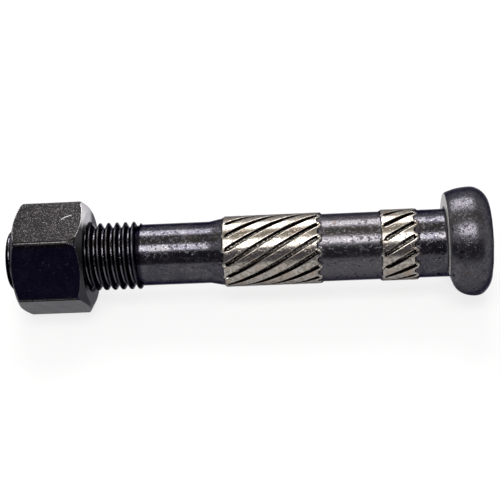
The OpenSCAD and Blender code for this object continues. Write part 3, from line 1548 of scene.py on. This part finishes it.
@dataclass
class Nut:
    """The hexagonal nut, with turned ends and its own thread.

    Attributes:
        thread: Its thread.
        face_r: Radius of the inner face, which is its seating face.
        outer_face_r: Radius of the outer face.
        chamfer: How far the chamfers lean from square to the axis.
        shoulder_r: Radius at which the chamfers end on the long edges.
        shoulder_length: Length of the rounding from there to corner_r, for a height of 1.
        corner_r: Radius to which the long edges are turned down.
        corner_round: Radius of the long edges' rounding.
        corner_rows: Faces across that rounding.
        flat_turns: Turn of one flat of each opposite pair, up from the front.
        edge_turns: Turn of one long edge of each opposite pair, up from the front.
        knock_shift: How far the form that wears a corner down is off the axis.
        knock_turn: Turn of the worn corner, up from the front.
        knock: Outline of the worn corner, as depth under the inner face and distance from the axis.
        bore_bevel: Bevel at the bore's mouths.
        bore_r: Radius of the bore between its threads.
        clearance: How far the nut's thread is outside the bolt's.
        columns: How many faces go round the turned forms.
        crease: Angle from which an edge looks sharp.
        end_tilt: How much a face has to face along the axis to be one of a turned end.
        end_steel: The finish of the turned ends.
    """

    thread: Thread

    face_r: float = 0.0083
    outer_face_r: float = 0.0087
    chamfer: float = 30.0
    shoulder_r: float = 0.0099
    shoulder_length: float = 1.5
    corner_r: float = 0.01009
    corner_round: float = 0.0006
    corner_rows: int = 8
    flat_turns: tuple[float, ...] = (90.0, 30.0, -30.0)
    edge_turns: tuple[float, ...] = (60.0, 0.0, -60.0)

    knock_shift: float = 0.0032
    knock_turn: float = 60.0
    knock: tuple[Point, ...] = (
        (-0.001, 0.0083),
        (0.0, 0.0089),
        (0.0001, 0.00899),
        (0.0006, 0.00964),
        (0.0013, 0.00994),
        (0.0023, 0.01009),
        (0.0032, 0.0102),
        (0.013, 0.0103),
    )

    bore_bevel: float = 0.0003
    bore_r: float = 0.0052
    clearance: float = 0.00007
    columns: int = 192
    crease: float = 24.0
    end_tilt: float = 0.7
    end_steel: NutSteel = NutSteel(
        name="nut_end_oxide",
        oxide=(0.0085, 0.0078, 0.0105, 1.0),
        rim=(0.47, 0.47, 0.5, 1.0),
    )

    def blank(self) -> bpy.types.Object:
        """The hexagonal bar that the nut is cut from, with its long edges rounded.

        Returns:
            The solid.
        """
        half = (NUT_HIGH.z - NUT_LOW.z) / 2
        centre_r = (half - self.corner_round) / math.cos(math.radians(HEX_TURN / 2))
        points = []
        for corner in range(6):
            turn = math.radians(HEX_TURN * corner)
            centre = (centre_r * math.sin(turn), centre_r * math.cos(turn))
            start = HEX_TURN * (2 - corner)
            points += arc(centre, self.corner_round, start, start - HEX_TURN, self.corner_rows)
        nut = Workbench.prism("hex_nut", points, NUT_HIGH.x - NUT_LOW.x)
        middle = Vector(((NUT_LOW.x + NUT_HIGH.x) / 2, 0.0, 0.0))
        Workbench.place(nut, Vector((0.0, 90.0, 0.0)), middle)
        return nut

    def envelope(self) -> bpy.types.Object:
        """The turned form inside which the hexagonal bar is kept.

        Returns:
            The solid.
        """
        slope = math.tan(math.radians(self.chamfer))
        shoulder = self.shoulder_length * (self.corner_r - self.shoulder_r)
        outer = NUT_LOW.x + (self.shoulder_r - self.outer_face_r) * slope
        inner = NUT_HIGH.x - (self.shoulder_r - self.face_r) * slope
        points = [
            (NUT_LOW.x, 0.0),
            (NUT_LOW.x, self.outer_face_r),
            (outer, self.shoulder_r),
            (outer + shoulder, self.corner_r),
            (inner - shoulder, self.corner_r),
            (inner, self.shoulder_r),
            (NUT_HIGH.x, self.face_r),
            (NUT_HIGH.x, 0.0),
        ]
        return Workbench.lathe("nut_envelope", points, self.columns)

    def knocked_form(self) -> bpy.types.Object:
        """The turned form inside which the nut is kept, set off centre so that it wears one corner down.

        Returns:
            The solid.
        """
        points = [(NUT_HIGH.x - depth, reach + self.knock_shift) for depth, reach in reversed(self.knock)]
        outline = [(points[0][0], 0.0), *points, (points[-1][0], 0.0)]
        form = Workbench.lathe("nut_knock", outline, self.columns)
        away = Vector(around(self.knock_turn)) * -self.knock_shift
        Workbench.place(form, Vector(), away)
        return form

    def mouths(self) -> bpy.types.Object:
        """The turned form that opens the bore and bevels its two mouths.

        Returns:
            The solid.
        """
        crest = self.thread.crest_r + self.clearance
        mouth = crest + self.bore_bevel
        points = [
            (NUT_LOW.x - SLACK, 0.0),
            (NUT_LOW.x - SLACK, mouth + SLACK),
            (NUT_LOW.x + mouth - self.bore_r, self.bore_r),
            (NUT_HIGH.x - mouth + self.bore_r, self.bore_r),
            (NUT_HIGH.x + SLACK, mouth + SLACK),
            (NUT_HIGH.x + SLACK, 0.0),
        ]
        return Workbench.lathe("nut_mouths", points, self.columns)

    def build(self) -> bpy.types.Object:
        """Builds the nut as one closed mesh.

        Returns:
            The nut.
        """
        nut = self.blank()
        Workbench.combine(nut, self.envelope(), Cut.KEEP_INSIDE)
        Workbench.combine(nut, self.knocked_form(), Cut.KEEP_INSIDE)
        tap = self.thread.bar(
            "tap",
            NUT_LOW.x - self.thread.pitch,
            NUT_HIGH.x + self.thread.pitch,
            self.thread.crest_r + self.clearance,
            self.bore_r - self.thread.edge,
        )
        Workbench.combine(nut, self.mouths(), Cut.REMOVE)
        Workbench.combine(nut, tap, Cut.REMOVE)
        Workbench.complete(nut, self.crease)
        return nut

    def on_end(self, face: bpy.types.MeshPolygon) -> bool:
        """Tells whether a face is on one of the nut's two turned ends.

        Args:
            face: One of the nut's faces.

        Returns:
            True if it is near an end and turned towards it.
        """
        deep = (self.corner_r - self.face_r) * math.tan(math.radians(self.chamfer))
        to_end = min(face.center.x - NUT_LOW.x, NUT_HIGH.x - face.center.x)
        return to_end < deep and abs(face.normal.x) > self.end_tilt

    def dress(self, nut: bpy.types.Object) -> None:
        """Finishes the nut and fixes it to its body.

        Args:
            nut: The built nut.
        """
        NutSteel().dress(nut)
        self.end_steel.dress_faces(nut, self.on_end)
        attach(nut, "nut_body")
        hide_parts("nut")


@dataclass(frozen=True)
class Card:
    """A card that the object reflects.

    Attributes:
        name: The card's name.
        low: The height of its lower edge over the front horizon, in degrees.
        high: The height of its upper edge, over 90 for behind.
        cloth: What it is covered with.
    """

    name: str
    low: float
    high: float
    cloth: CardCloth


@dataclass(frozen=True)
class Lamp:
    """A soft area light.

    Attributes:
        name: The light's name.
        lift: Its height over the front horizon in degrees, over 90 for behind.
        width: How many degrees of the sky it spans.
        length: Its length along the bolt.
        radiance: How bright its surface is.
    """

    name: str
    lift: float
    width: float
    length: float
    radiance: float


@dataclass
class Studio:
    """The floor, cards, lights and camera.

    Attributes:
        target: Where the camera looks.
        distance: How far it is from there.
        lift: Its height over the horizon, in degrees.
        side: Its turn from the front towards the head.
        roll: Its turn about the line of sight.
        lens: Its focal length in millimetres.
        nearest: Where its view starts.
        floor_size: Length of the floor's sides.
        head_touch_x: Where the head's rim touches the floor.
        sky_light: How bright the world is as a light, where white is 1.
        hang_x: Which place on the axis the cards and lights hang over.
        hang_distance: How far from it they hang.
        card_length: Length of the cards along the bolt.
        cards: The cards.
        light_colour: The colour of the lights.
        lamps: The lights.
    """

    target: Place = (-0.0339, 0.000077, 0.00008)
    distance: float = 0.206
    lift: float = 44.0
    side: float = 5.4
    roll: float = 6.12
    lens: float = 84.5
    nearest: float = 0.01

    floor_size: float = 3.0
    head_touch_x: float = 0.0043
    sky_light: float = 0.35

    hang_x: float = -0.055
    hang_distance: float = 0.5
    card_length: float = 1.6
    cards: tuple[Card, ...] = (
        Card("front_card", 5.6, 52.0, CardCloth("dark_cloth", (0.135, 0.125, 0.15, 1.0))),
        Card("upper_card", 84.0, 116.0, CardCloth("dull_cloth", (0.5, 0.47, 0.38, 1.0))),
    )
    light_colour: tuple[float, float, float] = (1.0, 0.98, 0.965)
    lamps: tuple[Lamp, ...] = (
        Lamp("front_light", lift=68.5, width=21.0, length=0.3, radiance=9.5),
        Lamp("rear_light", lift=132.5, width=23.0, length=0.3, radiance=9.0),
    )

    def place_floor(self) -> None:
        """Lays the floor under the head's rim and the nut's lowest flat, which both touch it."""
        tilt = math.atan2(NUT_LOW.z - BOLT_LOW.z, self.head_touch_x - NUT_LOW.x)
        drop = BOLT_LOW.z + self.head_touch_x * math.tan(tilt)
        floor = Workbench.plane("floor", self.floor_size, Vector((0.0, 0.0, drop)), Euler((0.0, tilt, 0.0)))
        FloorPaint().dress(floor)
        log.info("floor: %.2f degrees out of level", math.degrees(tilt))

    def aim(self, lift: float) -> tuple[Vector, Euler]:
        """Finds where something hangs that faces the object.

        Args:
            lift: Its height over the front horizon in degrees, over 90 for behind.

        Returns:
            Its place, and its turn with its X along the bolt and its Z away from the object.
        """
        towards = Vector(around(lift))
        spot = Vector((self.hang_x, 0.0, 0.0)) + towards * self.hang_distance
        return spot, towards.to_track_quat("Z", "Y").to_euler()

    def span(self, width: float) -> float:
        """How wide something is that spans some degrees as seen from the object."""
        return 2 * self.hang_distance * math.tan(math.radians(width / 2))

    def hang_card(self, plan: Card) -> None:
        """Hangs a card that only reflections show.

        Args:
            plan: What the card is like.
        """
        spot, turn = self.aim((plan.low + plan.high) / 2)
        card = Workbench.plane(plan.name, 1.0, spot, turn)
        card.scale = (self.card_length, self.span(plan.high - plan.low), 1.0)
        card.visible_camera = False
        card.visible_diffuse = False
        card.visible_shadow = False
        card.visible_transmission = False
        plan.cloth.dress(card)

    def hang_lamp(self, plan: Lamp) -> None:
        """Hangs a light that faces the object.

        Args:
            plan: What the light is like.
        """
        spot, turn = self.aim(plan.lift)
        bpy.ops.object.light_add(type="AREA", location=spot, rotation=turn)
        lamp = bpy.context.object
        lamp.name = plan.name
        lamp.data.color = self.light_colour
        lamp.data.shape = "RECTANGLE"
        lamp.data.size = plan.length
        lamp.data.size_y = self.span(plan.width)
        lamp.data.energy = plan.radiance * math.pi * lamp.data.size * lamp.data.size_y

    def set_world(self) -> None:
        """Makes the world white to the camera and in reflections, and dimmer as a light."""
        world = bpy.data.worlds.new("studio")
        world.use_nodes = True
        graph = Graph(world.node_tree)
        strength = self.sky_light + (1.0 - self.sky_light) * graph.seen()
        white = graph.node("ShaderNodeBackground", inputs={"Color": WHITE, "Strength": strength})
        graph.end(white, "ShaderNodeOutputWorld")
        bpy.context.scene.world = world

    def aim_camera(self) -> None:
        """Sets up the camera at the photograph's viewing angle."""
        lift, side = math.radians(self.lift), math.radians(self.side)
        towards = Vector((math.sin(side) * math.cos(lift), -math.cos(side) * math.cos(lift), math.sin(lift)))
        bpy.ops.object.camera_add(location=Vector(self.target) + towards * self.distance)
        camera = bpy.context.object
        camera.name = "camera"
        look = towards.to_track_quat("Z", "Y")
        turned = look @ Euler((0.0, 0.0, math.radians(-self.roll))).to_quaternion()
        camera.rotation_euler = turned.to_euler()
        camera.data.lens = self.lens
        camera.data.clip_start = self.nearest
        bpy.context.scene.camera = camera

    def build(self) -> None:
        """Sets up the whole studio."""
        self.place_floor()
        for plan in self.cards:
            self.hang_card(plan)
        for plan in self.lamps:
            self.hang_lamp(plan)
        self.set_world()
        self.aim_camera()
        bpy.context.scene.view_settings.view_transform = "Standard"


def report(piece: bpy.types.Object) -> None:
    """Logs a finished piece's size.

    Args:
        piece: The piece.
    """
    triangles = sum(len(face.vertices) - 2 for face in piece.data.polygons)
    sizes = [mm(d) for d in piece.dimensions]
    log.info("%s: %d triangles, %.1f x %.1f x %.1f mm", piece.name, triangles, *sizes)


def main() -> None:
    """Builds the bolt, the nut and the studio in order."""
    logging.basicConfig(level=logging.INFO, format="%(message)s")
    thread = Thread()
    for part in (Bolt(thread), Nut(thread)):
        piece = part.build()
        part.dress(piece)
        report(piece)
    Studio().build()


if __name__ == "__main__":
    main()
